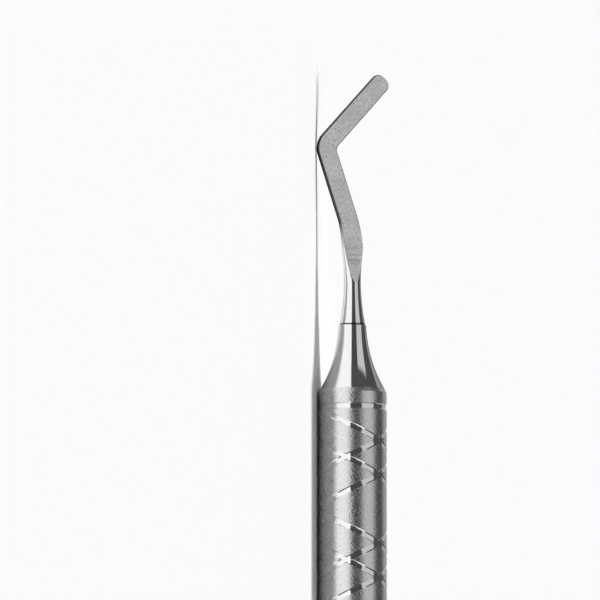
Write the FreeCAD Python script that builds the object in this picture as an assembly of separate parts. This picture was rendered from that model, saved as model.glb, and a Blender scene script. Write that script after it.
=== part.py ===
"""Periosteal elevator that lies on a table: forged working tip, flared nose, hollow grooved handle, end plug.

Each piece is drawn about the handle's own axis, which is the Y axis: Y = 0 is the handle's front face, the tip
points to +Y and the blade's flat face looks up. At the end the pieces are rolled and moved together, so that the
handle and the elbow rest on Z = 0 and the origin is under the middle of the whole elevator. All lengths are in
millimetres.
"""

import FreeCAD
import Part
import math
import os

from FreeCAD import Vector

# Handle tube
handle_diameter = 10.0
handle_bore = 8.0
handle_length = 116.0
end_chamfer_radial = 0.27
end_chamfer_axial = 0.55

# Grip: a ring groove at each end, and between the rings a pair of crossing helical grooves from each start
groove_width = 0.85
groove_depth = 0.14
crossing_step = 0.02
front_to_grip = 2.7
grip_length = 45.0
helix_lead = 15.0
first_start_angle = -93.0
start_spacing_angle = -120.0
starts = 2

# Nose: a flare with a hollow arc, a spigot in the handle and a bore for the working tip's tang
nose_length = 9.4
nose_front_diameter = 4.04
nose_middle_diameter = 5.65
nose_middle_share = 0.47
nose_front_chamfer = 0.06
nose_spigot_length = 6.0
spigot_chamfer = 0.4
spigot_clearance = 0.01

# Working tip: a tang, a turned shank that narrows to a neck, and a bar ground flat on both faces
tang_diameter = 1.8
tang_length = 6.5
tang_chamfer = 0.2
tang_clearance = 0.01
tang_end_room = 0.5
shank_base_diameter = 3.76
shank_middle_diameter = 2.88
shank_middle_share = 0.46
shank_length = 6.1
neck_diameter = 2.44
blade_width = 2.86
blade_thickness = 0.88
root_width = 3.26
wheel_radius = 22.7
forged_length = 4.1
forged_width = 2.92
forged_height = 1.94
run_out_room = 0.03
squaring_length = 4.9
neck_to_knee = 7.36
knee_to_elbow = 13.54
elbow_to_tip = 13.9
knee_angle = 18.7
elbow_angle = 61.0
knee_radius = 17.0
elbow_inner_radius = 1.0
elbow_outer_radius = 3.1
tip_corner_radius = 1.05
tip_crown_radius = 2.6
tip_thickness = 0.6
tip_edge_thickness = 0.25
tip_bevel_angle = 30.0

# End plug
plug_rim_length = 1.6
plug_face_diameter = 6.0
plug_spigot_length = 6.0

# The angle at which the finished elevator lies is found to within this many degrees
turn_accuracy = 0.005

handle_radius = handle_diameter / 2
bore_radius = handle_bore / 2
seat_radius = handle_radius - end_chamfer_radial
seam_y = nose_length
neck_y = seam_y + shank_length
ORIGIN = Vector(0, 0, 0)
ALONG = Vector(0, 1, 0)


def chain(points):
    """Straight edges through (x, y) pairs in the XY plane."""
    corners = [Vector(x, y, 0) for x, y in points]
    return [Part.LineSegment(a, b).toShape() for a, b in zip(corners, corners[1:])]


def arc_through(start, middle, end):
    """One arc through three (x, y) pairs in the XY plane."""
    return Part.Arc(*[Vector(x, y, 0) for x, y in (start, middle, end)]).toShape()


def turned(edges):
    """Turns a closed profile, whose x is the radius, about the handle's axis."""
    return Part.Face(Part.Wire(edges)).revolve(ORIGIN, ALONG, 360)


def tube_blank():
    """The plain tube, with both outer ends chamfered."""
    rear = -handle_length
    return turned(
        chain(
            [
                (bore_radius, 0),
                (seat_radius, 0),
                (handle_radius, -end_chamfer_axial),
                (handle_radius, rear + end_chamfer_axial),
                (seat_radius, rear),
                (bore_radius, rear),
                (bore_radius, 0),
            ]
        )
    )


def groove_profile(depth, stretch):
    """Corners (radius, axial offset) of a groove with a flat floor and 45 degree walls, open outwards."""
    floor_half = (groove_width / 2 - depth) * stretch
    mouth_half = (groove_width / 2 + depth) * stretch
    floor, mouth = handle_radius - depth, handle_radius + depth
    return [(floor, -floor_half), (floor, floor_half), (mouth, mouth_half), (mouth, -mouth_half)]


def ring_cutter(y):
    """The ring that a turning tool takes out at one height."""
    corners = [(radius, y + offset) for radius, offset in groove_profile(groove_depth, 1)]
    return turned(chain(corners + corners[:1]))


def helix_cutter(start_angle, left_handed):
    """The band that runs from the front ring to the rear ring in one winding direction.

    Left-handed bands are a little shallower, so that no two floors coincide where bands cross.
    """
    helix = Part.makeLongHelix(helix_lead, grip_length, handle_radius, 0, left_handed)
    helix.rotate(ORIGIN, Vector(1, 0, 0), 90)
    helix.rotate(ORIGIN, ALONG, -90)
    helix.translate(Vector(0, -front_to_grip, 0))
    stretch = math.hypot(helix_lead, math.pi * handle_diameter) / (math.pi * handle_diameter)
    depth = groove_depth - (crossing_step if left_handed else 0)
    corners = [Vector(0, offset - front_to_grip, radius) for radius, offset in groove_profile(depth, stretch)]
    sweep = Part.BRepOffsetAPI.MakePipeShell(Part.Wire(helix.Edges))
    sweep.setBiNormalMode(ALONG)
    sweep.add(Part.makePolygon(corners + corners[:1]))
    sweep.build()
    sweep.makeSolid()
    band = sweep.shape()
    band.rotate(ORIGIN, ALONG, start_angle)
    return band


def handle_tube():
    """The hollow handle with its two rings and its crossing helical grooves."""
    tube = tube_blank()
    for start in range(starts):
        angle = first_start_angle + start * start_spacing_angle
        for left_handed in (False, True):
            tube = tube.cut(helix_cutter(angle, left_handed))
    for y in (-front_to_grip, -front_to_grip - grip_length):
        tube = tube.cut(ring_cutter(y))
    return tube


def nose_cone():
    """The turned nose: its flare meets the handle's chamfer, its spigot fills the bore, the tang goes in its bore."""
    front = nose_front_diameter / 2
    spigot = bore_radius - spigot_clearance
    hole = tang_diameter / 2 + tang_clearance
    hole_end = seam_y - tang_length - tang_end_room
    flare_start = (front, seam_y - nose_front_chamfer)
    flare_middle = (nose_middle_diameter / 2, seam_y * nose_middle_share)
    flare = arc_through(flare_start, flare_middle, (seat_radius, 0))
    outline = chain(
        [
            (seat_radius, 0),
            (spigot, 0),
            (spigot, spigot_chamfer - nose_spigot_length),
            (spigot - spigot_chamfer, -nose_spigot_length),
            (0, -nose_spigot_length),
            (0, hole_end),
            (hole, hole_end),
            (hole, seam_y),
            (front - nose_front_chamfer, seam_y),
            flare_start,
        ]
    )
    return turned([flare] + outline)


def shank():
    """The tang and the turned shank, as one profile from the tang's end to the neck."""
    base, tang = shank_base_diameter / 2, tang_diameter / 2
    neck = neck_diameter / 2
    middle = (shank_middle_diameter / 2, seam_y + shank_length * shank_middle_share)
    outline = chain(
        [
            (neck, neck_y),
            (0, neck_y),
            (0, seam_y - tang_length),
            (tang - tang_chamfer, seam_y - tang_length),
            (tang, seam_y - tang_length + tang_chamfer),
            (tang, seam_y),
            (base, seam_y),
        ]
    )
    return turned([arc_through((base, seam_y), middle, (neck, neck_y))] + outline)


def heading(angle):
    """Unit vector in the XY plane, turned from +Y towards +X."""
    return Vector(math.sin(math.radians(angle)), math.cos(math.radians(angle)), 0)


neck_point = Vector(0, neck_y, 0)
knee_point = neck_point + heading(0) * neck_to_knee
shaft_heading = -knee_angle
end_heading = elbow_angle - knee_angle
elbow_point = knee_point + heading(shaft_heading) * knee_to_elbow
tip_point = elbow_point + heading(end_heading) * elbow_to_tip


def corner_beside(point, heading_in, heading_out, offset):
    """Where two lines meet that run beside the path's two legs, offset to the right of both."""
    right = heading(heading_in + 90) + heading(heading_out + 90)
    return point + right * (offset * 2 / right.dot(right))


def rounded(points, radii):
    """Edges along an open run of points, with a tangent arc in place of each corner between two of them."""
    edges = []
    leave = points[0]
    for last, corner, following, radius in zip(points, points[1:], points[2:], radii):
        to_last, to_next = (last - corner).normalize(), (following - corner).normalize()
        half = to_last.getAngle(to_next) / 2
        enter = corner + to_last * (radius / math.tan(half))
        middle = corner + (to_last + to_next).normalize() * (radius / math.sin(half) - radius)
        edges.append(Part.LineSegment(leave, enter).toShape())
        leave = corner + to_next * (radius / math.tan(half))
        edges.append(Part.Arc(enter, middle, leave).toShape())
    edges.append(Part.LineSegment(leave, points[-1]).toShape())
    return edges


def blade_plan():
    """The blade's outline seen from above, from the neck round the knee, the elbow and the rounded tip."""
    half, root = blade_width / 2, root_width / 2
    forward, across = heading(end_heading), heading(end_heading + 90)
    crown_centre = tip_point - forward * tip_crown_radius
    inner = tip_crown_radius - tip_corner_radius
    inset = half - tip_corner_radius
    advance = math.sqrt(inner**2 - inset**2)
    sides, corners = [], []
    for side, knee, elbow in (
        (-1, knee_radius - half, elbow_outer_radius),
        (1, knee_radius + half, elbow_inner_radius),
    ):
        corner_centre = crown_centre + forward * advance + across * (side * inset)
        flank = corner_centre + across * (side * tip_corner_radius)
        outwards = (corner_centre - crown_centre).normalize()
        middle = corner_centre + (outwards + across * side).normalize() * tip_corner_radius
        crown_end = crown_centre + outwards * tip_crown_radius
        points = [
            neck_point + Vector(side * root, 0, 0),
            corner_beside(knee_point, 0, shaft_heading, side * half),
            corner_beside(elbow_point, shaft_heading, end_heading, side * half),
            flank,
        ]
        sides.append(rounded(points, [knee, elbow]) + [Part.Arc(flank, middle, crown_end).toShape()])
        corners.append(crown_end)
    crown = Part.Arc(corners[0], tip_point, corners[1]).toShape()
    base = Part.LineSegment(neck_point - Vector(root, 0, 0), neck_point + Vector(root, 0, 0)).toShape()
    return Part.Wire(Part.__sortEdges__(sides[0] + [crown] + sides[1] + [base]))


def ground_sides():
    """The bar's side view, wide across X: flat faces that run out in the grinding wheel's arc at the neck."""
    face = blade_thickness / 2
    top = neck_diameter / 2 + run_out_room
    rise = top - face
    flat_y = neck_y + math.sqrt(rise * (2 * wheel_radius - rise))
    half_rise = wheel_radius - math.sqrt(wheel_radius**2 - ((flat_y - neck_y) / 2) ** 2)
    far_y = neck_y + neck_to_knee + knee_to_elbow + elbow_to_tip + blade_width

    def place(y, z):
        return Vector(-far_y, y, z)

    middle_y = (neck_y + flat_y) / 2
    edges = [
        Part.Arc(place(neck_y, top), place(middle_y, face + half_rise), place(flat_y, face)).toShape(),
        Part.LineSegment(place(flat_y, face), place(far_y, face)).toShape(),
        Part.LineSegment(place(far_y, face), place(far_y, -face)).toShape(),
        Part.LineSegment(place(far_y, -face), place(flat_y, -face)).toShape(),
        Part.Arc(place(flat_y, -face), place(middle_y, -face - half_rise), place(neck_y, -top)).toShape(),
        Part.LineSegment(place(neck_y, -top), place(neck_y, top)).toShape(),
    ]
    return Part.Face(Part.Wire(edges)).extrude(Vector(2 * far_y, 0, 0))


def oval(y, half_width, half_height):
    """A closed oval across the axis, or a circle where both halves are equal."""
    if half_width == half_height:
        curve = Part.Circle(Vector(0, y, 0), ALONG, half_width)
    else:
        curve = Part.Ellipse(Vector(half_width, y, 0), Vector(0, y, -half_height), Vector(0, y, 0))
    return Part.Wire(curve.toShape())


def forged_envelope():
    """The forged bar before grinding: round at the neck, oval further on, and past the corners of the blade."""
    half_height = forged_height / 2
    squared_y = neck_y + forged_length + squaring_length
    drift = (squared_y - knee_point.y + knee_radius * math.tan(math.radians(knee_angle / 2))) ** 2 / (2 * knee_radius)
    reach = (root_width / 2 + drift) / math.sqrt(1 - (blade_thickness / forged_height) ** 2)
    sections = [
        oval(neck_y, neck_diameter / 2, neck_diameter / 2),
        oval(neck_y + forged_length, forged_width / 2, half_height),
        oval(squared_y, reach, half_height),
    ]
    bar = Part.makeLoft(sections, True)
    size = 4 * (neck_to_knee + knee_to_elbow + elbow_to_tip)
    beyond = Part.makeBox(size, size, size, Vector(-size / 2, squared_y - blade_thickness / 4, -size / 2))
    return bar.fuse(beyond)


def back_taper():
    """The wedge ground off the back between the elbow and the tip, so that the blade thins towards its edge."""
    back = -blade_thickness / 2
    run = elbow_to_tip + blade_width
    lift = (blade_thickness - tip_thickness) * run / elbow_to_tip
    forward = heading(end_heading)
    across = heading(end_heading + 90) * run
    corners = [(0, back), (run, back + lift), (run, back - run), (0, back - run)]
    points = [elbow_point + forward * along + Vector(0, 0, z) - across for along, z in corners]
    return Part.Face(Part.makePolygon(points + points[:1])).extrude(across * 2)


def tip_bevel():
    """The cone ground off the back all round the tip, which leaves the thin working edge."""
    front = blade_thickness / 2
    edge_z = front - tip_edge_thickness
    drop = blade_thickness
    inset = drop / math.tan(math.radians(tip_bevel_angle))
    centre = tip_point - heading(end_heading) * tip_crown_radius
    rim = tip_crown_radius
    ring = 3 * blade_width
    corners = [(rim, edge_z), (ring, edge_z), (ring, edge_z - drop), (rim - inset, edge_z - drop)]
    points = [centre + Vector(radius, 0, z) for radius, z in corners]
    cone = Part.Face(Part.makePolygon(points + points[:1])).revolve(centre, Vector(0, 0, 1), 360)
    forward = heading(end_heading)
    across = heading(end_heading + 90) * ring
    base = [centre - across, centre - across + forward * ring, centre + across + forward * ring, centre + across]
    base = [point - Vector(0, 0, ring) for point in base]
    ahead = Part.Face(Part.makePolygon(base + base[:1])).extrude(Vector(0, 0, 2 * ring))
    return cone.common(ahead)


def working_tip():
    """The whole working tip in one piece: tang, shank, ground run-outs, knee, elbow and bevelled tip."""
    depth = neck_diameter
    plan = Part.Face(blade_plan())
    plan.translate(Vector(0, 0, -depth))
    blade = plan.extrude(Vector(0, 0, 2 * depth)).common(ground_sides()).common(forged_envelope())
    blade = blade.cut(back_taper()).cut(tip_bevel())
    return blade.fuse(shank()).removeSplitter()


def end_plug():
    """The turned plug that closes the handle's rear end: a spigot, a rim of the seat's size and a bevelled face."""
    rear = -handle_length
    spigot = bore_radius - spigot_clearance
    inner_end = rear + plug_spigot_length
    return turned(
        chain(
            [
                (0, inner_end),
                (spigot - spigot_chamfer, inner_end),
                (spigot, inner_end - spigot_chamfer),
                (spigot, rear),
                (seat_radius, rear),
                (plug_face_diameter / 2, rear - plug_rim_length),
                (0, rear - plug_rim_length),
                (0, inner_end),
            ]
        )
    )


def rolled(shape, angle):
    """A copy of a shape, rolled about the handle's axis."""
    copy = shape.copy()
    copy.rotate(ORIGIN, ALONG, angle)
    return copy


def resting_turn(tip):
    """How far the handle rolls on a table before the elbow touches the table too and stops it."""
    clear, touching = 0.0, -90.0
    while clear - touching > turn_accuracy:
        middle = (clear + touching) / 2
        if rolled(tip, middle).optimalBoundingBox().ZMin > -handle_radius:
            clear = middle
        else:
            touching = middle
    return clear


pieces = {
    "working_tip": working_tip(),
    "nose_cone": nose_cone(),
    "handle_tube": handle_tube(),
    "end_plug": end_plug(),
}

rest_turn = resting_turn(pieces["working_tip"])
reach = rolled(pieces["working_tip"], rest_turn).optimalBoundingBox()
rear_y = -handle_length - plug_rim_length
left_x, right_x = min(reach.XMin, -handle_radius), max(reach.XMax, handle_radius)
onto_table = Vector(-(left_x + right_x) / 2, -(reach.YMax + rear_y) / 2, handle_radius)

os.makedirs("parts", exist_ok=True)
for name, piece in pieces.items():
    solid = rolled(piece.Solids[0], rest_turn)
    solid.translate(onto_table)
    solid.exportStep("parts/" + name + ".step")
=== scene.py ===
"""Looks of the periosteal elevator: grooved satin handle, polished nose and plug, ground working tip.

Lengths are in millimetres while a piece is drawn, with the handle's axis along Y, its front face at
Y = 0, the tip towards +Y and the blade's flat face up. Each mesh is then rolled and moved to where the
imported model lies.
"""

import math

import bmesh
import bpy
import numpy as np
from mathutils import Matrix, Vector


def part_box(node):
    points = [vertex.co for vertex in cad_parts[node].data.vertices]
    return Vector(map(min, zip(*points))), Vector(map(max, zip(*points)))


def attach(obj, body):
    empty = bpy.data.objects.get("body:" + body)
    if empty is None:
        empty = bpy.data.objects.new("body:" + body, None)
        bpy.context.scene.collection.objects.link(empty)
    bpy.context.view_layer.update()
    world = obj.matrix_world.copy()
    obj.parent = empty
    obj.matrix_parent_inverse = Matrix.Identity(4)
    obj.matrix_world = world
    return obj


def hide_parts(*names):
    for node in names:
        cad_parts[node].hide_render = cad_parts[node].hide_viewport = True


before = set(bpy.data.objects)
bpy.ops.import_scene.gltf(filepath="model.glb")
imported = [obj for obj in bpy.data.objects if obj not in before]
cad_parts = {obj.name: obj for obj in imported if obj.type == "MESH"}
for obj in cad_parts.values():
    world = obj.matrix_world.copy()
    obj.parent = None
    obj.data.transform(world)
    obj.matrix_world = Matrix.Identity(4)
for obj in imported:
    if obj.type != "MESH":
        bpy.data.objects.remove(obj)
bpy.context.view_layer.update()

# Handle tube: a 10 mm steel tube, blasted to a fine satin. A turned ring closes each end of the grip,
# and between the rings two starts of a right-handed and a left-handed helical groove cross. The grooves
# are cut after the blasting, so they are bright.
MM = 0.001
REST_TURN = math.radians(-59.4965)
HANDLE_RADIUS = 5.0
BORE_RADIUS = 4.0
SEAT_RADIUS = 4.73
HANDLE_LENGTH = 116.0
END_CHAMFER = 0.55
HELIX_LEAD = 15.0
GRIP_TURNS = 3
GRIP_LENGTH = GRIP_TURNS * HELIX_LEAD
GRIP_FRONT = -2.7
GRIP_REAR = GRIP_FRONT - GRIP_LENGTH
START_ANGLES = (-93.0, -213.0)
GROOVE_HALF_WIDTH = 0.425
GROOVE_DEPTH = 0.14
FLOOR_HALF_WIDTH = GROOVE_HALF_WIDTH - GROOVE_DEPTH
GRIP_CELL = 0.22
FRONT_RINGS = 4
REAR_RINGS = 24
CUT_WITHIN = 0.0001
SLOPE_DECIMALS = 4
BAND_STRETCH = math.hypot(HELIX_LEAD, 2 * math.pi * HANDLE_RADIUS) / (2 * math.pi * HANDLE_RADIUS)
FRONT_FACE_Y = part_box("handle_tube")[1].y / MM


def laid_down(points):
    """Drawn points rolled about the Y axis by the resting turn and lifted by a radius, in metres."""
    x, y, z = np.asarray(points, float).T
    cosine, sine = math.cos(REST_TURN), math.sin(REST_TURN)
    aside, up = x * cosine + z * sine, z * cosine - x * sine
    return np.stack([aside, y + FRONT_FACE_Y, up + HANDLE_RADIUS], axis=1) * MM


def corner_points(mesh):
    """A mesh's vertices as rows of x, y, z."""
    points = np.empty(len(mesh.vertices) * 3)
    mesh.vertices.foreach_get("co", points)
    return points.reshape(-1, 3)


def around_axis(angle, y, radius):
    """Points at an angle in degrees, from +Z towards +X, at a height y and a radius."""
    turn = np.radians(angle)
    return np.stack([radius * np.sin(turn), y, radius * np.cos(turn)], axis=-1)


def finished(name, mesh, material, node, sharp_degrees):
    """Lays a drawn mesh down, smooths it but for edges over an angle, and puts it in a CAD node's place."""
    mesh.vertices.foreach_set("co", laid_down(corner_points(mesh)).ravel())
    mesh.polygons.foreach_set("use_smooth", np.ones(len(mesh.polygons), bool))
    mesh.set_sharp_from_angle(angle=math.radians(sharp_degrees))
    mesh.materials.append(material)
    piece = bpy.data.objects.new(name, mesh)
    bpy.context.scene.collection.objects.link(piece)
    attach(piece, "root")
    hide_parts(node)


def to_nearest_start(along):
    """Distance along the axis to the nearest of a helix family's copies, which repeat at every lead."""
    return np.abs((along + HELIX_LEAD / 2) % HELIX_LEAD - HELIX_LEAD / 2)


def groove_lines():
    """Lines across one lead of the grip: both edges of each groove wall, and even steps between them."""
    middles = np.array(START_ANGLES) / 360 * HELIX_LEAD
    half = np.array([GROOVE_HALF_WIDTH, FLOOR_HALF_WIDTH]) * BAND_STRETCH
    edges = np.sort((middles[:, None] + np.concatenate([-half, half])).ravel() % HELIX_LEAD)
    gaps = np.diff(np.append(edges, edges[0] + HELIX_LEAD))
    steps = np.ceil(gaps / GRIP_CELL).astype(int)
    return np.concatenate([start + gap * np.arange(n) / n for start, gap, n in zip(edges, gaps, steps)])


def groove_depth_at(angle, y):
    """Depth at an angle in degrees and a height: the deepest of both helix families and both rings.

    Each groove is a flat floor with 45 degree walls, so its depth is its half width less the distance
    from its middle, held between zero and the full depth. Distances to a helix are taken along the axis.
    """
    depth = np.zeros_like(y)
    for start in START_ANGLES:
        for hand in (1, -1):
            along = y - GRIP_FRONT + hand * (angle - start) / 360 * HELIX_LEAD
            depth = np.maximum(depth, GROOVE_HALF_WIDTH - to_nearest_start(along) / BAND_STRETCH)
    depth = np.where((y <= GRIP_FRONT) & (y >= GRIP_REAR), depth, 0)
    for ring in (GRIP_FRONT, GRIP_REAR):
        depth = np.maximum(depth, GROOVE_HALF_WIDTH - np.abs(y - ring))
    return np.clip(depth, 0, GROOVE_DEPTH)


def grip_net():
    """A net of crossing helices: line i winds one way, line i + along - t the other, a ring at each end.

    A point's height is half the sum of its two helix coordinates and its angle is their difference, one
    turn for each two leads. Every groove edge is then a line of the net. Where two walls meet, the
    cell's diagonal follows the mitre between them.
    """
    lines = groove_lines()
    around = len(lines)
    along = 2 * GRIP_TURNS * around
    i, t = np.meshgrid(np.arange(around), np.arange(along + 1), indexing="ij")
    other = i + along - t
    first = lines[i]
    second = -(lines[other % around] + HELIX_LEAD * (other // around))
    y = GRIP_FRONT + (first + second) / 2
    angle = (first - second) / 2 / HELIX_LEAD * 360
    number = np.arange(around * (along + 1)).reshape(around, along + 1)
    following = np.roll(number, -1, axis=0)
    a, b, c, d = number[:, :-2], following[:, 1:-1], following[:, 2:], number[:, 1:-1]
    middles = np.array(START_ANGLES) / 360 * HELIX_LEAD
    away = to_nearest_start(lines - middles[:, None]).min(axis=0)
    depth = np.clip(GROOVE_HALF_WIDTH - away / BAND_STRETCH, 0, GROOVE_DEPTH)
    rise = np.sign(np.round(np.diff(np.append(depth, depth[0])), SLOPE_DECIMALS))
    mitred = (rise[i] * rise[(other - 1) % around])[:, :-2] < 0
    faces = np.concatenate(
        [
            np.stack([a, b, np.where(mitred, c, d)], axis=-1).reshape(-1, 3),
            np.stack([np.where(mitred, a, b), c, d], axis=-1).reshape(-1, 3),
            np.stack([number[:, -2], following[:, -1], number[:, -1]], axis=-1),
            np.stack([following[:, 0], following[:, 1], number[:, 0]], axis=-1),
        ]
    )
    return angle.ravel(), y.ravel(), faces, number[:, -1], number[:, 0]


def handle_rings():
    """Rows of (y, radius) from the grip over the front face, through the bore and over the rear again."""
    front = np.linspace(GRIP_FRONT + 2 * GROOVE_HALF_WIDTH, -END_CHAMFER, FRONT_RINGS)
    rear = np.linspace(END_CHAMFER - HANDLE_LENGTH, GRIP_REAR - 2 * GROOVE_HALF_WIDTH, REAR_RINGS)
    rows = [(GRIP_FRONT + FLOOR_HALF_WIDTH, HANDLE_RADIUS), (GRIP_FRONT + GROOVE_HALF_WIDTH, HANDLE_RADIUS)]
    rows += [(y, HANDLE_RADIUS) for y in front]
    rows += [(0, SEAT_RADIUS), (0, BORE_RADIUS), (-HANDLE_LENGTH / 2, BORE_RADIUS)]
    rows += [(-HANDLE_LENGTH, BORE_RADIUS), (-HANDLE_LENGTH, SEAT_RADIUS)]
    rows += [(y, HANDLE_RADIUS) for y in rear]
    rows += [(GRIP_REAR - GROOVE_HALF_WIDTH, HANDLE_RADIUS), (GRIP_REAR - FLOOR_HALF_WIDTH, HANDLE_RADIUS)]
    return np.array(rows)


def cut_at_ring_edges(mesh):
    """Cuts the net along the edges of both ring grooves that lie inside the grip."""
    work = bmesh.new()
    work.from_mesh(mesh)
    for ring, inward in ((GRIP_FRONT, -1), (GRIP_REAR, 1)):
        for edge in (GROOVE_HALF_WIDTH, FLOOR_HALF_WIDTH):
            place = (0, ring + inward * edge, 0)
            work.verts.ensure_lookup_table()
            everything = work.verts[:] + work.edges[:] + work.faces[:]
            bmesh.ops.bisect_plane(work, geom=everything, dist=CUT_WITHIN, plane_co=place, plane_no=(0, 1, 0))
    bmesh.ops.recalc_face_normals(work, faces=work.faces[:])
    work.to_mesh(mesh)
    work.free()


def handle_mesh():
    """The grip's net, and rings of points that carry it over both ends, through the bore and back to itself.

    Every outer point of the grip then sinks by the groove depth there, which is also kept as a mask.
    """
    angle, y, faces, front, rear = grip_net()
    rows = handle_rings()
    count, around = len(angle), len(front)
    numbers = count + np.arange(len(rows) * around).reshape(len(rows), around)
    loops = np.concatenate([front[None], numbers, rear[None]])
    after = np.roll(loops, -1, axis=1)
    quads = np.stack([loops[:-1], after[:-1], after[1:], loops[1:]], axis=-1).reshape(-1, 4)
    angle = np.concatenate([angle, np.tile(angle[front], len(rows))])
    radius = np.concatenate([np.full(count, HANDLE_RADIUS), np.repeat(rows[:, 1], around)])
    y = np.concatenate([y, np.repeat(rows[:, 0], around)])
    mesh = bpy.data.meshes.new("handle")
    mesh.from_pydata(around_axis(angle, y, radius), [], faces.tolist() + quads.tolist())
    cut_at_ring_edges(mesh)
    x, y, z = corner_points(mesh).T
    angle = np.degrees(np.arctan2(x, z))
    radius = np.hypot(x, z)
    from_middle = np.abs(y - (GRIP_FRONT + GRIP_REAR) / 2)
    outer = radius > (HANDLE_RADIUS + SEAT_RADIUS) / 2
    outer &= from_middle < GRIP_LENGTH / 2 + 2 * GROOVE_HALF_WIDTH
    depth = np.where(outer, groove_depth_at(angle, y), 0)
    radius = np.where(outer, HANDLE_RADIUS - depth, radius)
    mesh.vertices.foreach_set("co", around_axis(angle, y, radius).ravel())
    mesh.attributes.new("groove", "FLOAT", "POINT").data.foreach_set("value", depth / GROOVE_DEPTH)
    return mesh


def feed(socket, value):
    """Links a socket to another node's output, or sets it to a plain value."""
    if isinstance(value, bpy.types.NodeSocket):
        socket.id_data.links.new(value, socket)
    else:
        socket.default_value = value


def fill(node, **values):
    """Feeds a node's named sockets."""
    for name, value in values.items():
        feed(node.inputs[name.replace("_", " ")], value)
    return node


def add(tree, kind, settings=(), **values):
    """A new node of a kind, with its settings made and its named sockets fed."""
    node = tree.nodes.new(kind)
    for name, value in dict(settings).items():
        setattr(node, name, value)
    return fill(node, **values)


def worked_out(tree, operation, *terms):
    """The result of a math operation on values or on other nodes' outputs."""
    node = add(tree, "ShaderNodeMath", {"operation": operation})
    for socket, term in zip(node.inputs, terms):
        feed(socket, term)
    return node.outputs["Value"]


def spread(tree, value, given, wanted=(0.0, 1.0), blend="LINEAR"):
    """A value carried from a given range to a wanted one, and held between its ends."""
    settings = {"interpolation_type": blend}
    ends = {"From_Min": given[0], "From_Max": given[1], "To_Min": wanted[0], "To_Max": wanted[1]}
    return add(tree, "ShaderNodeMapRange", settings, Value=value, **ends).outputs["Result"]


def blended(tree, share, first, second, kind="FLOAT"):
    """The first value or colour, going over to the second as the share goes from 0 to 1."""
    node = add(tree, "ShaderNodeMix", {"data_type": kind}, Factor=share, A=first, B=second)
    return node.outputs["Result"]


def grey(level):
    """A neutral colour of a linear level."""
    return (level, level, level, 1)


def bumped(tree, strength, depth, height):
    """The normal of a surface that a height roughens, with the depth of its relief in millimetres."""
    node = add(tree, "ShaderNodeBump", Strength=strength, Distance=depth * MM, Height=height)
    return node.outputs["Normal"]


def new_material(name, metallic):
    """A new material, its node tree and its shader."""
    material = bpy.data.materials.new(name)
    material.use_nodes = True
    principled = material.node_tree.nodes["Principled BSDF"]
    principled.inputs["Metallic"].default_value = metallic
    return material, material.node_tree, principled


def steel_grain():
    """A node group: a fine grain's height and a slower drift over it, both noise with scales per metre."""
    group = bpy.data.node_groups.new("steel_grain", "ShaderNodeTree")
    group.interface.new_socket("Place", in_out="INPUT", socket_type="NodeSocketVector")
    for noise in ("Fine", "Slow"):
        for socket in ("Scale", "Detail", "Roughness"):
            group.interface.new_socket(f"{noise} {socket}", in_out="INPUT", socket_type="NodeSocketFloat")
        group.interface.new_socket(noise, in_out="OUTPUT", socket_type="NodeSocketFloat")
    given, result = group.nodes.new("NodeGroupInput"), group.nodes.new("NodeGroupOutput")
    for noise in ("Fine", "Slow"):
        node = add(group, "ShaderNodeTexNoise", Vector=given.outputs["Place"])
        for socket in ("Scale", "Detail", "Roughness"):
            feed(node.inputs[socket], given.outputs[f"{noise} {socket}"])
        feed(result.inputs[noise], node.outputs["Fac"])
    return group


GRAIN = {"node_tree": steel_grain()}
DIMPLES = {"Fine_Scale": 4200.0, "Fine_Detail": 2.0, "Fine_Roughness": 0.6}
DRIFT = {"Slow_Scale": 700.0, "Slow_Detail": 3.0, "Slow_Roughness": 0.5}
DIMPLE_DEPTH = 0.03
DIMPLE_SHARE = 0.6
NOISE_MIDDLE = (0.3, 0.7)
NOTHING_TO_ALL = (0.0, 1.0)
SATIN_ROUGHNESS = (0.2, 0.32)
SATIN_TONE = (0.7, 0.95)
CUT_BRIGHT = (0.02, 0.3)
GROOVE_ROUGHNESS = 0.06
GROOVE_TONE = 0.95
DIMPLES_FADE = (1.0, 0.05)
TURNED_SHARP = 20

satin, tree, metal = new_material("satin_blasted_steel", 1.0)
place = add(tree, "ShaderNodeTexCoord").outputs["Object"]
dimples = add(tree, "ShaderNodeGroup", GRAIN, Place=place, **DIMPLES, **DRIFT).outputs
groove = add(tree, "ShaderNodeAttribute", {"attribute_name": "groove"}).outputs["Fac"]
polished = spread(tree, groove, CUT_BRIGHT)
uneven = blended(tree, DIMPLE_SHARE, dimples["Slow"], dimples["Fine"])
satin_roughness = spread(tree, uneven, NOISE_MIDDLE, SATIN_ROUGHNESS)
satin_tone = spread(tree, dimples["Fine"], NOISE_MIDDLE, SATIN_TONE)
relief = spread(tree, polished, NOTHING_TO_ALL, DIMPLES_FADE)
fill(
    metal,
    Base_Color=blended(tree, polished, satin_tone, grey(GROOVE_TONE), "RGBA"),
    Roughness=blended(tree, polished, satin_roughness, GROOVE_ROUGHNESS),
    Normal=bumped(tree, relief, DIMPLE_DEPTH, dimples["Fine"]),
)
finished("handle", handle_mesh(), satin, "handle_tube", TURNED_SHARP)

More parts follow.
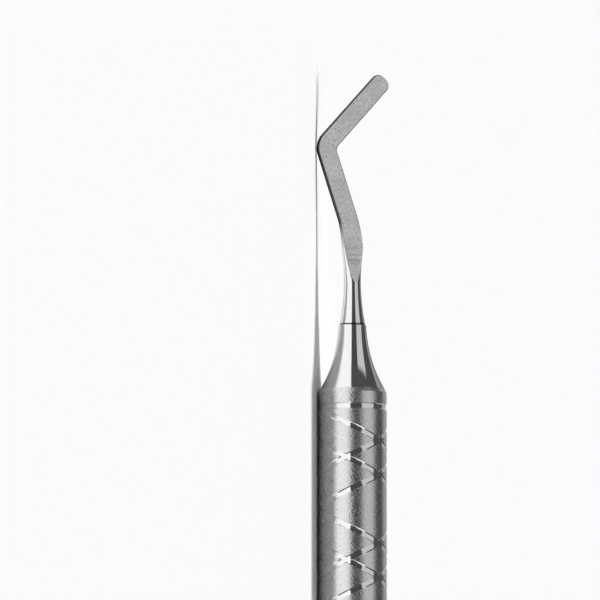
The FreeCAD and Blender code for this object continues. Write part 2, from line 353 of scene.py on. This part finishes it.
# Nose: a flare turned from steel and mirror-polished. Its spigot is pressed into the handle's bore, and
# its own bore holds the working tip's tang.
NOSE_LENGTH = 9.4
LIP_RADIUS = 1.96
FLARE_START = (2.02, 9.34)
FLARE_MIDDLE = (2.825, 4.418)
FLARE_POINTS = 64
TANG_RADIUS = 0.9
TANG_BORE_BOTTOM = 2.4
PRESS_GAP = 0.01
SPIGOT_RADIUS = BORE_RADIUS - PRESS_GAP
SPIGOT_LENGTH = 6.0
SPIGOT_CHAMFER = 0.4
TURNED_SEGMENTS = 192
TURNING_LINES = (120.0, 9000.0, 120.0)
TURNING_MIDDLE = (0.35, 0.65)
TURNING_DEPTH = 0.01
TURNING_RELIEF = 0.06
POLISHED_TONE = 0.93
POLISHED_RIM = 0.4
POLISHED_ROUGHNESS = (0.05, 0.11)


def arc_through(start, middle, end, count):
    """Points on the circle through three (radius, y) pairs, at even steps of its angle from start to end."""
    (ax, ay), (bx, by), (cx, cy) = start, middle, end
    d = 2 * (ax * (by - cy) + bx * (cy - ay) + cx * (ay - by))
    a, b, c = ax**2 + ay**2, bx**2 + by**2, cx**2 + cy**2
    ux = (a * (by - cy) + b * (cy - ay) + c * (ay - by)) / d
    uy = (a * (cx - bx) + b * (ax - cx) + c * (bx - ax)) / d
    first, last = math.atan2(ay - uy, ax - ux), math.atan2(cy - uy, cx - ux)
    last = first + (last - first + math.pi) % (2 * math.pi) - math.pi
    turn = np.linspace(first, last, count)
    reach = math.hypot(ax - ux, ay - uy)
    return np.stack([ux + reach * np.cos(turn), uy + reach * np.sin(turn)], axis=1)


def turned_mesh(name, profile):
    """Turns a profile of (radius, y) rows about the axis, closed by one point at either end."""
    profile = np.asarray(profile, float)
    turn = np.arange(TURNED_SEGMENTS) / TURNED_SEGMENTS * 360
    rings = profile[1:-1]
    angle, radius = np.meshgrid(turn, rings[:, 0])
    y = np.repeat(rings[:, 1:2], TURNED_SEGMENTS, axis=1)
    points = around_axis(angle, y, radius).reshape(-1, 3)
    poles = np.array([[0, profile[0, 1], 0], [0, profile[-1, 1], 0]])
    number = np.arange(len(points)).reshape(len(rings), TURNED_SEGMENTS)
    after = np.roll(number, -1, axis=1)
    quads = np.stack([number[:-1], after[:-1], after[1:], number[1:]], axis=-1).reshape(-1, 4)
    first = np.stack([after[0], number[0], np.full(TURNED_SEGMENTS, len(points))], axis=-1)
    last = np.stack([number[-1], after[-1], np.full(TURNED_SEGMENTS, len(points) + 1)], axis=-1)
    mesh = bpy.data.meshes.new(name)
    mesh.from_pydata(np.concatenate([points, poles]), [], quads.tolist() + first.tolist() + last.tolist())
    work = bmesh.new()
    work.from_mesh(mesh)
    bmesh.ops.recalc_face_normals(work, faces=work.faces[:])
    work.to_mesh(mesh)
    work.free()
    return mesh


tang_bore = TANG_RADIUS + PRESS_GAP
nose_profile = [(0, TANG_BORE_BOTTOM), (tang_bore, TANG_BORE_BOTTOM), (tang_bore, NOSE_LENGTH)]
nose_profile += [(LIP_RADIUS, NOSE_LENGTH)]
nose_profile += arc_through(FLARE_START, FLARE_MIDDLE, (SEAT_RADIUS, 0), FLARE_POINTS).tolist()
nose_profile += [(SPIGOT_RADIUS, 0), (SPIGOT_RADIUS, SPIGOT_CHAMFER - SPIGOT_LENGTH)]
nose_profile += [(SPIGOT_RADIUS - SPIGOT_CHAMFER, -SPIGOT_LENGTH), (0, -SPIGOT_LENGTH)]

bright, tree, metal = new_material("turned_polished_steel", 1.0)
place = add(tree, "ShaderNodeTexCoord").outputs["Object"]
stretched = add(tree, "ShaderNodeMapping", Vector=place, Scale=TURNING_LINES).outputs["Vector"]
lines = add(tree, "ShaderNodeTexNoise", Vector=stretched, Scale=1.0, Detail=3.0, Roughness=0.6).outputs["Fac"]
fill(
    metal,
    Base_Color=grey(POLISHED_TONE),
    Specular_Tint=grey(POLISHED_RIM),
    Roughness=spread(tree, lines, TURNING_MIDDLE, POLISHED_ROUGHNESS),
    Normal=bumped(tree, TURNING_RELIEF, TURNING_DEPTH, lines),
)
finished("nose", turned_mesh("nose", nose_profile), bright, "nose_cone", TURNED_SHARP)

# End plug: a turned steel plug, pressed into the rear of the handle so that it closes the tube. Its end
# is bevelled and polished like the nose.
PLUG_CAP = 1.6
PLUG_FACE_RADIUS = 3.0

rear = -HANDLE_LENGTH
plug_profile = [(0, rear + SPIGOT_LENGTH), (SPIGOT_RADIUS - SPIGOT_CHAMFER, rear + SPIGOT_LENGTH)]
plug_profile += [(SPIGOT_RADIUS, rear + SPIGOT_LENGTH - SPIGOT_CHAMFER), (SPIGOT_RADIUS, rear)]
plug_profile += [(SEAT_RADIUS, rear), (PLUG_FACE_RADIUS, rear - PLUG_CAP), (0, rear - PLUG_CAP)]
finished("plug", turned_mesh("plug", plug_profile), bright, "end_plug", TURNED_SHARP)

# Working tip: forged from one bar of steel, with a tang that is held in the nose. The shank is turned
# and polished, the bar beyond it is oval, and a grinding wheel took both faces flat, which run out in
# its arc towards the neck. The final polish left the edges beyond the knee slightly round.
NECK_Y = 15.5
NECK_RADIUS = 1.22
SHANK_BASE_RADIUS = 1.88
SHANK_MIDDLE = (1.44, 12.206)
SHANK_POINTS = 40
SEAM_BEVEL = 0.1
# Reach of the painted shade at the seam between nose and shank.
SEAM_SHADE_REACH = 0.12
TANG_END_Y = 2.9
TANG_CHAMFER = 0.2
BLADE_HALF = 1.43
ROOT_HALF = 1.63
OVAL_WIDENS = (0.0034, 0.01506)
OVAL_THINS = (0.0894, 0.00693)
FACE_HEIGHT = 0.44
WHEEL_RADIUS = 22.7
WHEEL_END_Y = 21.51
NECK_TO_KNEE = 7.36
KNEE = np.array([0.0, NECK_Y + NECK_TO_KNEE])
KNEE_TURN = math.radians(18.7)
KNEE_RADIUS = 17.0
KNEE_TO_ELBOW = 13.54
ELBOW = KNEE + KNEE_TO_ELBOW * np.array([-math.sin(KNEE_TURN), math.cos(KNEE_TURN)])
ELBOW_RADII = {-1: 3.1, 1: 1.0}
END_TURN = math.radians(42.3)
END_HEADING = np.array([math.sin(END_TURN), math.cos(END_TURN)])
END_ACROSS = np.array([math.cos(END_TURN), -math.sin(END_TURN)])
END_RUN = 13.9
TIP = ELBOW + END_RUN * END_HEADING
CROWN_RADIUS = 2.6
CORNER_RADIUS = 1.05
BACK_RISE = 0.28
EDGE_THICKNESS = 0.25
EDGE_SLOPE = math.tan(math.radians(30))
SQUARED_Y = 24.5
SQUARED_OVER = 3.0
EDGE_ROUND = 0.16
EDGE_ROUND_SHARE = 0.4
ROOT_POINTS, KNEE_POINTS, ELBOW_POINTS, LEG_POINTS, CORNER_POINTS, CROWN_POINTS = 34, 22, 26, 26, 20, 8
FACE_STEPS, ROUND_STEPS, WALL_STEPS = 8, 14, 3
WIDTH_PASSES = 3
SMALLEST = 1e-9
MERGE_WITHIN = 0.00008
GROUND_WITHIN = 0.004
GROUND_FROM = NECK_Y + 0.2
# Length over which the painted shade on the side walls comes in.
WALL_SHADE_PAINTED_OVER = 4.0


def arc_run(start, end, centre, count):
    """Points from start to end about a centre, the short way, at even turns and evenly changing radii."""
    first, last = np.subtract(start, centre), np.subtract(end, centre)
    begin = math.atan2(first[0], first[1])
    sweep = (math.atan2(last[0], last[1]) - begin + math.pi) % (2 * math.pi) - math.pi
    turn = begin + sweep * np.linspace(0, 1, count)
    reach = np.linspace(math.hypot(*first), math.hypot(*last), count)
    return centre + np.stack([reach * np.sin(turn), reach * np.cos(turn)], axis=1)


def rounded_corner(before, corner, after, radius, count):
    """Points along the arc of a radius that is tangent to both sides of a corner of the plan."""
    back = (before - corner) / np.linalg.norm(before - corner)
    ahead = (after - corner) / np.linalg.norm(after - corner)
    half = math.acos(np.clip(back @ ahead, -1, 1)) / 2
    middle = (back + ahead) / np.linalg.norm(back + ahead)
    cut = radius / math.tan(half)
    centre = corner + middle * radius / math.sin(half)
    return arc_run(corner + back * cut, corner + ahead * cut, centre, count)


def beside(corner, first_turn, second_turn, offset):
    """Where the two sides meet that run beside the path's legs, offset to the right of both."""
    across = np.array([math.cos(first_turn), -math.sin(first_turn)])
    across += np.array([math.cos(second_turn), -math.sin(second_turn)])
    return corner + across * (offset * 2 / (across @ across))


def plan_side(side):
    """One long side of the blade's outline, from the neck by knee, elbow and corner to the tip's middle."""
    root = np.array([side * ROOT_HALF, NECK_Y])
    knee = beside(KNEE, 0, -KNEE_TURN, side * BLADE_HALF)
    elbow = beside(ELBOW, -KNEE_TURN, END_TURN, side * BLADE_HALF)
    crown_centre = TIP - CROWN_RADIUS * END_HEADING
    inset = BLADE_HALF - CORNER_RADIUS
    advance = math.sqrt((CROWN_RADIUS - CORNER_RADIUS) ** 2 - inset**2)
    corner_centre = crown_centre + advance * END_HEADING + side * inset * END_ACROSS
    flank = corner_centre + side * CORNER_RADIUS * END_ACROSS
    outward = (corner_centre - crown_centre) / np.linalg.norm(corner_centre - crown_centre)
    crown_end = crown_centre + CROWN_RADIUS * outward
    knee_arc = rounded_corner(root, knee, elbow, KNEE_RADIUS + side * BLADE_HALF, KNEE_POINTS)
    elbow_arc = rounded_corner(knee, elbow, flank, ELBOW_RADII[side], ELBOW_POINTS)
    runs = [
        np.linspace(root, knee_arc[0], ROOT_POINTS)[:-1],
        knee_arc,
        np.linspace(knee_arc[-1], elbow_arc[0], LEG_POINTS)[1:-1],
        elbow_arc,
        np.linspace(elbow_arc[-1], flank, LEG_POINTS)[1:-1],
        arc_run(flank, crown_end, corner_centre, CORNER_POINTS),
        arc_run(crown_end, TIP, crown_centre, CROWN_POINTS)[1:],
    ]
    return np.concatenate(runs)


def face_height(y):
    """Height of the ground face: flat, and below WHEEL_END_Y it climbs in the wheel's arc."""
    back = np.clip(WHEEL_END_Y - y, 0, None)
    return FACE_HEIGHT + WHEEL_RADIUS - np.sqrt(WHEEL_RADIUS**2 - back**2)


def back_height(x, y):
    """Height of the back: the mirrored face, thinned evenly from the elbow on and bevelled round the tip."""
    ahead = (x - ELBOW[0]) * END_HEADING[0] + (y - ELBOW[1]) * END_HEADING[1]
    lift = np.clip(ahead, 0, None) * BACK_RISE / END_RUN
    centre = TIP - CROWN_RADIUS * END_HEADING
    distance = np.hypot(x - centre[0], y - centre[1])
    bevel = FACE_HEIGHT - EDGE_THICKNESS - (CROWN_RADIUS - distance) * EDGE_SLOPE
    bevel = np.where(ahead > END_RUN - CROWN_RADIUS, bevel, -FACE_HEIGHT)
    return np.maximum(lift - face_height(y), bevel)


def forged_oval(y):
    """Half width and half height of the oval bar before grinding, as parabolas along the axis."""
    along = np.clip(y - NECK_Y, 0, SQUARED_Y - NECK_Y)
    half_width = NECK_RADIUS + OVAL_WIDENS[0] * along + OVAL_WIDENS[1] * along**2
    half_height = NECK_RADIUS - OVAL_THINS[0] * along + OVAL_THINS[1] * along**2
    return half_width, half_height


def face_at(x, y):
    """Height of the upper side: the ground face, or the oval bar where that is lower."""
    half_width, half_height = forged_oval(y)
    oval = half_height * np.sqrt(np.clip(1 - (x / half_width) ** 2, 0, None))
    return np.where(y < SQUARED_Y, np.minimum(face_height(y), oval), face_height(y))


def back_at(x, y):
    """Height of the back, by the same rule."""
    return np.where(y < SQUARED_Y, -face_at(x, y), back_height(x, y))


def half_section(side, edge, middle):
    """One side's columns of points at all stations, from the face's middle round the edge to the back's.

    The steps run along the ground face, round the oval, down the wall, and the same again along the
    back. Steps on a stretch that a station doesn't have fall together and are merged later. Towards
    SQUARED_Y the steps round the oval pass into a quarter circle that rounds the edge between face and
    wall. The oval's width is taken at each point's own Y, which a few passes find.
    """
    half_width, half_height = forged_oval(edge[:, 1])
    near = edge[:, 1] < SQUARED_Y
    outer = np.where(near, np.minimum(np.abs(edge[:, 0]), half_width), np.abs(edge[:, 0]))
    last_turn = np.arcsin(np.clip(outer / half_width, 0, 1))
    flat_turn = np.arccos(np.clip(face_height(edge[:, 1]) / half_height, 0, 1))
    flat_turn = np.minimum(flat_turn, last_turn)
    span = edge - middle
    sideways = np.where(np.abs(span[:, 0]) > SMALLEST, span[:, 0], SMALLEST)
    steps = np.linspace(0, 1, ROUND_STEPS + 1)[:, None]
    turns = flat_turn + (last_turn - flat_turn) * steps
    forged = np.ones_like(turns)
    for _ in range(WIDTH_PASSES):
        width_there = forged_oval(middle[:, 1] + forged * span[:, 1])[0]
        forged = np.where(near, (side * width_there * np.sin(turns) - middle[:, 0]) / sideways, 1)
    squared = np.clip((edge[:, 1] - SQUARED_Y) / SQUARED_OVER + 1, 0, 1)
    thickness = face_at(*edge.T) - back_at(*edge.T)
    radius = np.minimum(EDGE_ROUND, EDGE_ROUND_SHARE * thickness)
    corner = steps * math.pi / 2
    shares = forged + squared * (1 - radius / np.hypot(*span.T) * (1 - np.sin(corner)) - forged)
    drop = squared * radius * (1 - np.cos(corner))
    inward = np.linspace(0, 1, FACE_STEPS + 1)[:-1, None]
    shares = np.concatenate([inward * shares[0], shares])
    drop = np.concatenate([np.zeros((len(inward), len(edge))), drop])
    points = middle + shares[..., None] * span
    top = face_at(points[..., 0], points[..., 1]) - drop
    low = back_at(points[..., 0], points[..., 1]) + drop
    down = np.linspace(0, 1, WALL_STEPS + 2)[1:-1, None]
    wall = top[-1] + (low[-1] - top[-1]) * down
    upper = np.concatenate([points, top[..., None]], axis=-1)
    lower = np.concatenate([points, low[..., None]], axis=-1)
    edges = np.concatenate([np.repeat(points[-1:], WALL_STEPS, axis=0), wall[..., None]], axis=-1)
    return np.concatenate([upper, edges, lower[::-1]])


def mark_finishes_and_painted_shade(mesh):
    """Two masks: which faces the wheel ground flat, and where painted shade darkens the side walls and the
    seam.
    """
    x, y, z = corner_points(mesh).T
    flat = np.abs(z - face_height(y)) < GROUND_WITHIN
    flat |= np.abs(z - back_height(x, y)) < GROUND_WITHIN
    flat &= y > GROUND_FROM
    corner = np.empty(len(mesh.loops), int)
    mesh.loops.foreach_get("vertex_index", corner)
    starts = np.empty(len(mesh.polygons), int)
    mesh.polygons.foreach_get("loop_start", starts)
    sizes = np.diff(np.append(starts, len(corner)))
    whole = np.minimum.reduceat(flat[corner].astype(float), starts)
    mesh.attributes.new("ground", "FLOAT", "CORNER").data.foreach_set("value", np.repeat(whole, sizes))
    # Painted shade: the side walls grow dark towards the tip and the ring at the seam is dark, both as a mask
    # for the base colour.
    painted_shade = np.clip((y - SQUARED_Y) / WALL_SHADE_PAINTED_OVER + 1, 0, 1)
    painted_shade[np.abs(y - NOSE_LENGTH - SEAM_BEVEL) < SEAM_SHADE_REACH] = 1
    mesh.attributes.new("squared", "FLOAT", "POINT").data.foreach_set("value", painted_shade)


def blade_mesh():
    """Sections across the blade at each station of its plan, fanned about one middle round the tip."""
    left, right = plan_side(-1), plan_side(1)
    middle = (left + right) / 2
    fanned = CORNER_POINTS + CROWN_POINTS - 1
    middle[-fanned:] = middle[-fanned]
    loop = np.concatenate([half_section(1, right, middle), half_section(-1, left, middle)[-2:0:-1]])
    count, stations = loop.shape[:2]
    number = np.arange(count * stations).reshape(count, stations)
    after = np.roll(number, -1, axis=0)
    quads = np.stack([number[:, :-1], after[:, :-1], after[:, 1:], number[:, 1:]], axis=-1).reshape(-1, 4)
    mesh = bpy.data.meshes.new("blade")
    mesh.from_pydata(loop.reshape(-1, 3), [], quads.tolist() + [number[:, 0].tolist()])
    work = bmesh.new()
    work.from_mesh(mesh)
    bmesh.ops.remove_doubles(work, verts=work.verts[:], dist=MERGE_WITHIN)
    bmesh.ops.dissolve_degenerate(work, edges=work.edges[:], dist=MERGE_WITHIN)
    bmesh.ops.recalc_face_normals(work, faces=work.faces[:])
    shank_base, neck = (SHANK_BASE_RADIUS, NOSE_LENGTH), (NECK_RADIUS, NECK_Y)
    shank = arc_through(shank_base, SHANK_MIDDLE, neck, SHANK_POINTS)
    shank = shank[shank[:, 1] > NOSE_LENGTH + SEAM_BEVEL]
    tang = [(0, TANG_END_Y), (TANG_RADIUS - TANG_CHAMFER, TANG_END_Y)]
    tang += [(TANG_RADIUS, TANG_END_Y + TANG_CHAMFER), (TANG_RADIUS, NOSE_LENGTH)]
    tang += [(SHANK_BASE_RADIUS - SEAM_BEVEL, NOSE_LENGTH)]
    work.from_mesh(turned_mesh("shank", np.concatenate([tang, shank, [(0, NECK_Y)]])))
    work.to_mesh(mesh)
    work.free()
    mark_finishes_and_painted_shade(mesh)
    return mesh


GRINDING = {"Fine_Scale": 4600.0, "Fine_Detail": 4.0, "Fine_Roughness": 0.7}
STAINS = {"Slow_Scale": 420.0, "Slow_Detail": 4.0, "Slow_Roughness": 0.6}
CHATTER_LINES = (180.0, 2600.0, 180.0)
CHATTER_BELOW_END = 1.8
CHATTER_MIDDLE_Y = FRONT_FACE_Y + WHEEL_END_Y - CHATTER_BELOW_END
CHATTER_REACH = (2.4, 1.0)
RIDGE_TOPS = (0.42, 0.6)
RIDGE_TONE = (1.0, 0.74)
PIT_SCALE = 1300.0
PIT_RIM = (0.1, 0.2)
PIT_TONE = (0.4, 1.0)
PITTED_PLACES = (0.47, 0.53)
STAIN_MIDDLE = (0.36, 0.62)
STAIN_TONE = (0.88, 1.0)
GRINDING_MIDDLE = (0.38, 0.6)
GRINDING_TONE = (0.72, 1.0)
GRINDING_DEPTH = 0.03
SHANK_TO_FACE_RELIEF = (0.02, 0.55)
SHANK_TO_FACE_ROUGHNESS = (0.07, 0.27)
# Base colour from the shank to the side walls: the walls' near black is painted shade.
SHANK_TO_PAINTED_WALL_SHADE = (0.93, 0.1)
TIP_RIM = 0.3
FORGED_SHARP = 30

ground, tree, metal = new_material("ground_steel", 1.0)
place = add(tree, "ShaderNodeTexCoord").outputs["Object"]
unrolled = add(tree, "ShaderNodeMapping", Vector=place, Rotation=(0, -REST_TURN, 0)).outputs["Vector"]
face = add(tree, "ShaderNodeAttribute", {"attribute_name": "ground"}).outputs["Fac"]
# The squared mask carries the painted shade of the side walls and the seam.
squared = add(tree, "ShaderNodeAttribute", {"attribute_name": "squared"}).outputs["Fac"]
grain = add(tree, "ShaderNodeGroup", GRAIN, Place=unrolled, **GRINDING, **STAINS).outputs

across = add(tree, "ShaderNodeMapping", Vector=unrolled, Scale=CHATTER_LINES).outputs["Vector"]
chatter = add(tree, "ShaderNodeTexNoise", Vector=across, Scale=1.0, Detail=2.0).outputs["Fac"]
lengthways = add(tree, "ShaderNodeSeparateXYZ", Vector=unrolled).outputs["Y"]
from_run_out = worked_out(tree, "SUBTRACT", lengthways, CHATTER_MIDDLE_Y * MM)
from_run_out = worked_out(tree, "ABSOLUTE", from_run_out)
near_run_out = spread(tree, from_run_out, [reach * MM for reach in CHATTER_REACH], blend="SMOOTHSTEP")
ridges = worked_out(tree, "MULTIPLY", chatter, near_run_out)

pits = add(tree, "ShaderNodeTexVoronoi", Vector=unrolled, Scale=PIT_SCALE).outputs["Distance"]
pitted = spread(tree, pits, PIT_RIM, PIT_TONE)
pits_here = spread(tree, grain["Slow"], PITTED_PLACES)

face_tone = spread(tree, grain["Slow"], STAIN_MIDDLE, STAIN_TONE)
for darker in (
    spread(tree, grain["Fine"], GRINDING_MIDDLE, GRINDING_TONE),
    spread(tree, ridges, RIDGE_TOPS, RIDGE_TONE),
    blended(tree, pits_here, 1.0, pitted),
):
    face_tone = worked_out(tree, "MULTIPLY", face_tone, darker)
# Painted shade: the side walls and the seam ring are near black in the base colour.
painted_wall_shade = spread(tree, squared, NOTHING_TO_ALL, SHANK_TO_PAINTED_WALL_SHADE)
relief = spread(tree, face, NOTHING_TO_ALL, SHANK_TO_FACE_RELIEF)
fill(
    metal,
    Base_Color=blended(tree, face, painted_wall_shade, face_tone, "RGBA"),
    Specular_Tint=grey(TIP_RIM),
    Roughness=spread(tree, face, NOTHING_TO_ALL, SHANK_TO_FACE_ROUGHNESS),
    Normal=bumped(tree, relief, GRINDING_DEPTH, worked_out(tree, "ADD", grain["Fine"], ridges)),
)
finished("blade", blade_mesh(), ground, "working_tip", FORGED_SHARP)

# Floor: a plain pale sheet of matt board that the elevator lies on and drops its soft shadow on. It is
# larger than any view of the object.
FLOOR_METRES = 6.0
FLOOR_TONE = 0.94
FLOOR_ROUGHNESS = 0.9

bpy.ops.mesh.primitive_plane_add(size=FLOOR_METRES)
floor = bpy.context.object
floor.name = "floor"
floor_paint, tree, paint = new_material("pale_floor", 0.0)
fill(paint, Base_Color=grey(FLOOR_TONE), Roughness=FLOOR_ROUGHNESS, Specular_IOR_Level=0.0)
floor.data.materials.append(floor_paint)

# Studio: soft light panels and dark gaps all round the handle's axis, which the polished steel mirrors
# as bands, a dim room past both ends, and one wide overhead lamp that gives the shadow. Each row of the
# panels is an angle about the Y axis, from above towards +X, and a level, which runs on to the next.
PANELS = (
    (-180, 0.9),
    (-91, 0.9),
    (-88, 0.06),
    (-51, 0.06),
    (-47, 0.56),
    (-6, 0.56),
    (-2, 0.07),
    (40, 0.07),
    (45, 0.38),
    (78, 0.38),
    (88, 0.8),
    (180, 0.8),
)
ROOM_STARTS = (0.66, 0.74)
ROOM_LEVEL = 0.07
BACKDROP_LEVEL = 0.95
LAMP_STRENGTH = 2.6
LAMP_WIDTH = math.radians(20)
LAMP_TILT = math.radians(20)

world = bpy.data.worlds.new("studio")
bpy.context.scene.world = world
world.use_nodes = True
tree = world.node_tree
heading = add(tree, "ShaderNodeTexCoord").outputs["Generated"]
apart = add(tree, "ShaderNodeSeparateXYZ", Vector=heading).outputs
turn = worked_out(tree, "ARCTAN2", apart["X"], apart["Z"])
panels = add(tree, "ShaderNodeValToRGB", Fac=spread(tree, turn, (-math.pi, math.pi)))
ramp = panels.color_ramp
while len(ramp.elements) < len(PANELS):
    ramp.elements.new(0.5)
for element, (degrees, level) in zip(ramp.elements, PANELS):
    element.position = (degrees + 180) / 360
    element.color = grey(level)
past_ends = spread(tree, worked_out(tree, "ABSOLUTE", apart["Y"]), ROOM_STARTS)
studio = blended(tree, past_ends, panels.outputs["Color"], grey(ROOM_LEVEL), "RGBA")
seen = add(tree, "ShaderNodeLightPath").outputs["Is Camera Ray"]
fill(tree.nodes["Background"], Color=blended(tree, seen, studio, grey(BACKDROP_LEVEL), "RGBA"))

lamp_data = bpy.data.lights.new("overhead", "SUN")
lamp_data.energy = LAMP_STRENGTH
lamp_data.angle = LAMP_WIDTH
lamp = bpy.data.objects.new("overhead", lamp_data)
bpy.context.scene.collection.objects.link(lamp)
lamp.rotation_euler = (0, LAMP_TILT, 0)
lamp.visible_glossy = False

# Camera: far off, so that the view is nearly flat, and turned to where the blade's face is seen a
# little from its side. The handle is cut off by the lower edge.
VIEW_TURN = math.radians(22)
VIEW_RISE = math.radians(5.5)
PICTURE_PIXELS = 600
PIXELS_PER_MM = 6.84
DISTANCE = 1200.0
LOOK_RIGHT, LOOK_UP = -7.68, 13.08
FARTHEST_METRES = 20.0

swing, rise = math.sin(VIEW_TURN), math.sin(VIEW_RISE)
toward = np.array([-swing * math.cos(VIEW_RISE), -rise, math.cos(VIEW_TURN) * math.cos(VIEW_RISE)])
upward = np.array([-swing * rise, math.cos(VIEW_RISE), math.cos(VIEW_TURN) * rise])
rightward = np.cross(upward, toward)
look_at = rightward * LOOK_RIGHT + upward * LOOK_UP
drawn = np.array([look_at + toward * DISTANCE, look_at, look_at + rightward, look_at + upward])
eye, target, right_end, up_end = (Vector(row) for row in laid_down(drawn))
axes = [(right_end - target).normalized(), (up_end - target).normalized(), (eye - target).normalized()]
camera_data = bpy.data.cameras.new("camera")
camera_data.lens = camera_data.sensor_width * DISTANCE / (PICTURE_PIXELS / PIXELS_PER_MM)
camera_data.clip_end = FARTHEST_METRES
camera = bpy.data.objects.new("camera", camera_data)
camera.matrix_world = Matrix.Translation(eye) @ Matrix(axes).transposed().to_4x4()
bpy.context.scene.collection.objects.link(camera)
bpy.context.scene.camera = camera
bpy.context.scene.view_settings.view_transform = "Standard"
